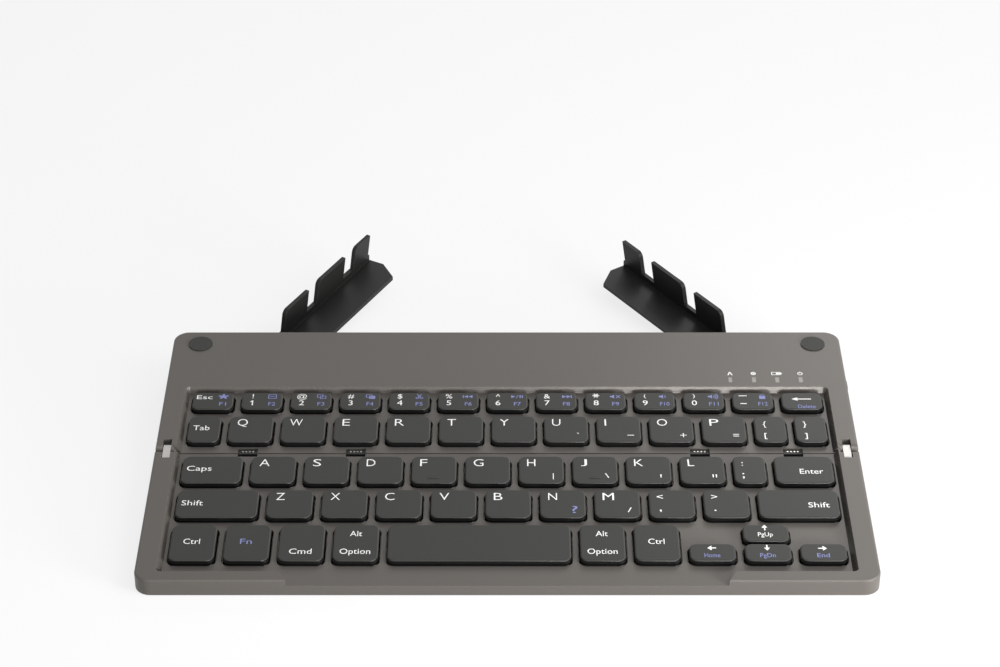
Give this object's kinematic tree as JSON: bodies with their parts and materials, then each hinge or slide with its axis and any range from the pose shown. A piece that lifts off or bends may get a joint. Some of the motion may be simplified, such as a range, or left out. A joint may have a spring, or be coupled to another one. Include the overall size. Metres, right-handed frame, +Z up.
{
  "type": "folding keyboard",
  "caption": "Compact keyboard that folds in half on double pivot links, with two toothed stand arms that swing out of its rear bar to hold a phone.",
  "frame": {"origin": "on the table under the middle of the outline, with the stand arms open as pictured", "axes": "+X to the typist's right, +Y away from the typist, +Z up from the table"},
  "size_m": [0.2488, 0.2165, 0.0201],
  "materials": {
    "case_paint": "metallic paint, satin",
    "bottom_plastic": "fine texture",
    "key_plastic": "satin top, glossy sides",
    "plate_steel": "stamped",
    "dome_rubber": "matt",
    "board_laminate": "solder mask",
    "cell_wrap": "shrink wrap",
    "socket_shell": "plated",
    "switch_plastic": "satin",
    "light_pipe": "translucent",
    "foot_rubber": "matt",
    "bumper_rubber": "matt",
    "steel": "plain",
    "arm_plastic": "satin",
    "link_metal": "satin",
    "cable_black": "matt",
    "contact_metal": "bright",
    "flex_film": "polyimide film"
  },
  "bodies": {
    "rear_half": {"rear_top_case": "case_paint", "rear_bottom_case": "bottom_plastic", "rear_support_plate": "plate_steel", "rear_domes": "dome_rubber", "main_board": "board_laminate", "battery": "cell_wrap", "charge_socket": "socket_shell", "status_lights": "light_pipe", "bar_bumpers": "bumper_rubber", "rear_feet": "foot_rubber", "rear_screws": "steel", "stand_pivots": "steel", "rear_hinge_pins": "steel", "cable_boots": "cable_black", "cable_contacts": "contact_metal", "flex_cables": "flex_film"},
    "links": {"hinge_links": "link_metal"},
    "front_half": {"front_top_case": "case_paint", "front_bottom_case": "bottom_plastic", "front_support_plate": "plate_steel", "front_domes": "dome_rubber", "front_feet": "foot_rubber", "front_screws": "steel", "front_hinge_pins": "steel"},
    "stand_arm_left": {"stand_arm_left": "arm_plastic"},
    "stand_arm_right": {"stand_arm_right": "arm_plastic"},
    "power_switch": {"power_switch": "switch_plastic"},
    "key_q": {"key_q": "key_plastic"},
    "key_w": {"key_w": "key_plastic"},
    "key_e": {"key_e": "key_plastic"},
    "key_r": {"key_r": "key_plastic"},
    "key_t": {"key_t": "key_plastic"},
    "key_y": {"key_y": "key_plastic"},
    "key_u": {"key_u": "key_plastic"},
    "key_i": {"key_i": "key_plastic"},
    "key_o": {"key_o": "key_plastic"},
    "key_p": {"key_p": "key_plastic"},
    "number_row_keys": {"number_row_keys": "key_plastic"},
    "tab_bracket_keys": {"tab_bracket_keys": "key_plastic"},
    "key_a": {"key_a": "key_plastic"},
    "key_s": {"key_s": "key_plastic"},
    "key_d": {"key_d": "key_plastic"},
    "key_f": {"key_f": "key_plastic"},
    "key_g": {"key_g": "key_plastic"},
    "key_h": {"key_h": "key_plastic"},
    "key_j": {"key_j": "key_plastic"},
    "key_k": {"key_k": "key_plastic"},
    "key_l": {"key_l": "key_plastic"},
    "key_z": {"key_z": "key_plastic"},
    "key_x": {"key_x": "key_plastic"},
    "key_c": {"key_c": "key_plastic"},
    "key_v": {"key_v": "key_plastic"},
    "key_b": {"key_b": "key_plastic"},
    "key_n": {"key_n": "key_plastic"},
    "key_m": {"key_m": "key_plastic"},
    "punctuation_keys": {"punctuation_keys": "key_plastic"},
    "enter_key": {"enter_key": "key_plastic"},
    "modifier_keys": {"modifier_keys": "key_plastic"},
    "space_key": {"space_key": "key_plastic"},
    "arrow_keys": {"arrow_keys": "key_plastic"}
  },
  "joints": [
    {"name": "fold_rear", "type": "hinge", "parent": "rear_half", "child": "links", "pos_m": [-0.0004, -0.03232, 0.00922], "axis": [-1, 0, 0], "range_deg": [0, 90], "deforming": ["flex_cables"]},
    {"name": "fold_front", "type": "hinge", "parent": "links", "child": "front_half", "pos_m": [-0.0004, -0.03791, 0.00883], "axis": [-1, 0, 0], "range_deg": [0, 90], "deforming": ["flex_cables"]},
    {"name": "stand_left", "type": "hinge", "parent": "rear_half", "child": "stand_arm_left", "pos_m": [-0.0904, 0.03013, 0.00218], "axis": [0, -0.0708, 0.9975], "range_deg": [-61, 2]},
    {"name": "stand_right", "type": "hinge", "parent": "rear_half", "child": "stand_arm_right", "pos_m": [0.0896, 0.03013, 0.00218], "axis": [0, -0.0708, 0.9975], "range_deg": [-8, 55]},
    {"name": "power_slide", "type": "slide", "parent": "rear_half", "child": "power_switch", "axis": [0, 0.9975, 0.0708], "range_m": [0, 0.002]},
    {"name": "key_q_press", "type": "slide", "parent": "rear_half", "child": "key_q", "axis": [0, 0.0708, -0.9975], "range_m": [0, 0.0015], "stiffness_N_per_m": 120, "springref_m": -0.002},
    {"name": "key_w_press", "type": "slide", "parent": "rear_half", "child": "key_w", "axis": [0, 0.0708, -0.9975], "range_m": [0, 0.0015], "stiffness_N_per_m": 120, "springref_m": -0.002},
    {"name": "key_e_press", "type": "slide", "parent": "rear_half", "child": "key_e", "axis": [0, 0.0708, -0.9975], "range_m": [0, 0.0015], "stiffness_N_per_m": 120, "springref_m": -0.002},
    {"name": "key_r_press", "type": "slide", "parent": "rear_half", "child": "key_r", "axis": [0, 0.0708, -0.9975], "range_m": [0, 0.0015], "stiffness_N_per_m": 120, "springref_m": -0.002},
    {"name": "key_t_press", "type": "slide", "parent": "rear_half", "child": "key_t", "axis": [0, 0.0708, -0.9975], "range_m": [0, 0.0015], "stiffness_N_per_m": 120, "springref_m": -0.002},
    {"name": "key_y_press", "type": "slide", "parent": "rear_half", "child": "key_y", "axis": [0, 0.0708, -0.9975], "range_m": [0, 0.0015], "stiffness_N_per_m": 120, "springref_m": -0.002},
    {"name": "key_u_press", "type": "slide", "parent": "rear_half", "child": "key_u", "axis": [0, 0.0708, -0.9975], "range_m": [0, 0.0015], "stiffness_N_per_m": 120, "springref_m": -0.002},
    {"name": "key_i_press", "type": "slide", "parent": "rear_half", "child": "key_i", "axis": [0, 0.0708, -0.9975], "range_m": [0, 0.0015], "stiffness_N_per_m": 120, "springref_m": -0.002},
    {"name": "key_o_press", "type": "slide", "parent": "rear_half", "child": "key_o", "axis": [0, 0.0708, -0.9975], "range_m": [0, 0.0015], "stiffness_N_per_m": 120, "springref_m": -0.002},
    {"name": "key_p_press", "type": "slide", "parent": "rear_half", "child": "key_p", "axis": [0, 0.0708, -0.9975], "range_m": [0, 0.0015], "stiffness_N_per_m": 120, "springref_m": -0.002},
    {"name": "number_row_keys_press", "type": "slide", "parent": "rear_half", "child": "number_row_keys", "axis": [0, 0.0708, -0.9975], "range_m": [0, 0.0015], "stiffness_N_per_m": 600, "springref_m": -0.002, "deforming": ["rear_domes"]},
    {"name": "tab_bracket_keys_press", "type": "slide", "parent": "rear_half", "child": "tab_bracket_keys", "axis": [0, 0.0708, -0.9975], "range_m": [0, 0.0015], "stiffness_N_per_m": 250, "springref_m": -0.002},
    {"name": "key_a_press", "type": "slide", "parent": "front_half", "child": "key_a", "axis": [0, 0.0708, -0.9975], "range_m": [0, 0.0015], "stiffness_N_per_m": 120, "springref_m": -0.002},
    {"name": "key_s_press", "type": "slide", "parent": "front_half", "child": "key_s", "axis": [0, 0.0708, -0.9975], "range_m": [0, 0.0015], "stiffness_N_per_m": 120, "springref_m": -0.002},
    {"name": "key_d_press", "type": "slide", "parent": "front_half", "child": "key_d", "axis": [0, 0.0708, -0.9975], "range_m": [0, 0.0015], "stiffness_N_per_m": 120, "springref_m": -0.002},
    {"name": "key_f_press", "type": "slide", "parent": "front_half", "child": "key_f", "axis": [0, 0.0708, -0.9975], "range_m": [0, 0.0015], "stiffness_N_per_m": 120, "springref_m": -0.002},
    {"name": "key_g_press", "type": "slide", "parent": "front_half", "child": "key_g", "axis": [0, 0.0708, -0.9975], "range_m": [0, 0.0015], "stiffness_N_per_m": 120, "springref_m": -0.002},
    {"name": "key_h_press", "type": "slide", "parent": "front_half", "child": "key_h", "axis": [0, 0.0708, -0.9975], "range_m": [0, 0.0015], "stiffness_N_per_m": 120, "springref_m": -0.002},
    {"name": "key_j_press", "type": "slide", "parent": "front_half", "child": "key_j", "axis": [0, 0.0708, -0.9975], "range_m": [0, 0.0015], "stiffness_N_per_m": 120, "springref_m": -0.002},
    {"name": "key_k_press", "type": "slide", "parent": "front_half", "child": "key_k", "axis": [0, 0.0708, -0.9975], "range_m": [0, 0.0015], "stiffness_N_per_m": 120, "springref_m": -0.002},
    {"name": "key_l_press", "type": "slide", "parent": "front_half", "child": "key_l", "axis": [0, 0.0708, -0.9975], "range_m": [0, 0.0015], "stiffness_N_per_m": 120, "springref_m": -0.002},
    {"name": "key_z_press", "type": "slide", "parent": "front_half", "child": "key_z", "axis": [0, 0.0708, -0.9975], "range_m": [0, 0.0015], "stiffness_N_per_m": 120, "springref_m": -0.002},
    {"name": "key_x_press", "type": "slide", "parent": "front_half", "child": "key_x", "axis": [0, 0.0708, -0.9975], "range_m": [0, 0.0015], "stiffness_N_per_m": 120, "springref_m": -0.002},
    {"name": "key_c_press", "type": "slide", "parent": "front_half", "child": "key_c", "axis": [0, 0.0708, -0.9975], "range_m": [0, 0.0015], "stiffness_N_per_m": 120, "springref_m": -0.002},
    {"name": "key_v_press", "type": "slide", "parent": "front_half", "child": "key_v", "axis": [0, 0.0708, -0.9975], "range_m": [0, 0.0015], "stiffness_N_per_m": 120, "springref_m": -0.002},
    {"name": "key_b_press", "type": "slide", "parent": "front_half", "child": "key_b", "axis": [0, 0.0708, -0.9975], "range_m": [0, 0.0015], "stiffness_N_per_m": 120, "springref_m": -0.002},
    {"name": "key_n_press", "type": "slide", "parent": "front_half", "child": "key_n", "axis": [0, 0.0708, -0.9975], "range_m": [0, 0.0015], "stiffness_N_per_m": 120, "springref_m": -0.002},
    {"name": "key_m_press", "type": "slide", "parent": "front_half", "child": "key_m", "axis": [0, 0.0708, -0.9975], "range_m": [0, 0.0015], "stiffness_N_per_m": 120, "springref_m": -0.002},
    {"name": "punctuation_keys_press", "type": "slide", "parent": "front_half", "child": "punctuation_keys", "axis": [0, 0.0708, -0.9975], "range_m": [0, 0.0015], "stiffness_N_per_m": 250, "springref_m": -0.002},
    {"name": "enter_key_press", "type": "slide", "parent": "front_half", "child": "enter_key", "axis": [0, 0.0708, -0.9975], "range_m": [0, 0.0015], "stiffness_N_per_m": 120, "springref_m": -0.002},
    {"name": "modifier_keys_press", "type": "slide", "parent": "front_half", "child": "modifier_keys", "axis": [0, 0.0708, -0.9975], "range_m": [0, 0.0015], "stiffness_N_per_m": 600, "springref_m": -0.002, "deforming": ["front_domes"]},
    {"name": "space_key_press", "type": "slide", "parent": "front_half", "child": "space_key", "axis": [0, 0.0708, -0.9975], "range_m": [0, 0.0015], "stiffness_N_per_m": 250, "springref_m": -0.002},
    {"name": "arrow_keys_press", "type": "slide", "parent": "front_half", "child": "arrow_keys", "axis": [0, 0.0708, -0.9975], "range_m": [0, 0.0015], "stiffness_N_per_m": 300, "springref_m": -0.002}
  ]
}
